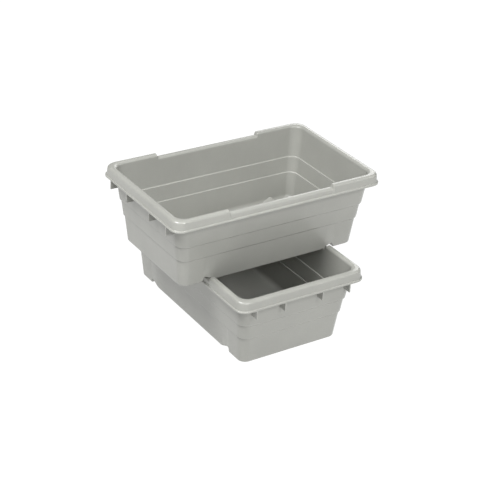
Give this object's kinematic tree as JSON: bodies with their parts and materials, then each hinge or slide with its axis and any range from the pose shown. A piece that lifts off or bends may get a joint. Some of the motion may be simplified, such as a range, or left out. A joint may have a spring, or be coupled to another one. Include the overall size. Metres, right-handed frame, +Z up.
{
  "type": "stacking plastic crate",
  "caption": "Open-top crates stacked crosswise: drafted, ledged walls, a hollow rim that dips along the long sides, gusseted end rims to grip, and underside channels that seat on the rim below.",
  "frame": {"origin": "on the floor under the middle of the stack", "axes": "+Z up, +X along the upper crate's length, +Y along the lower crate's length"},
  "size_m": [0.638, 0.638, 0.416],
  "materials": {
    "grey_plastic": "light grey moulded plastic with a satin sheen"
  },
  "bodies": {
    "lower": {"lower_crate": "grey_plastic"},
    "upper": {"upper_crate": "grey_plastic"}
  },
  "joints": [
    {"name": "upper_lift", "type": "slide", "parent": "lower", "child": "upper", "axis": [0, 0, 1], "range_m": [0, 0.24]}
  ]
}
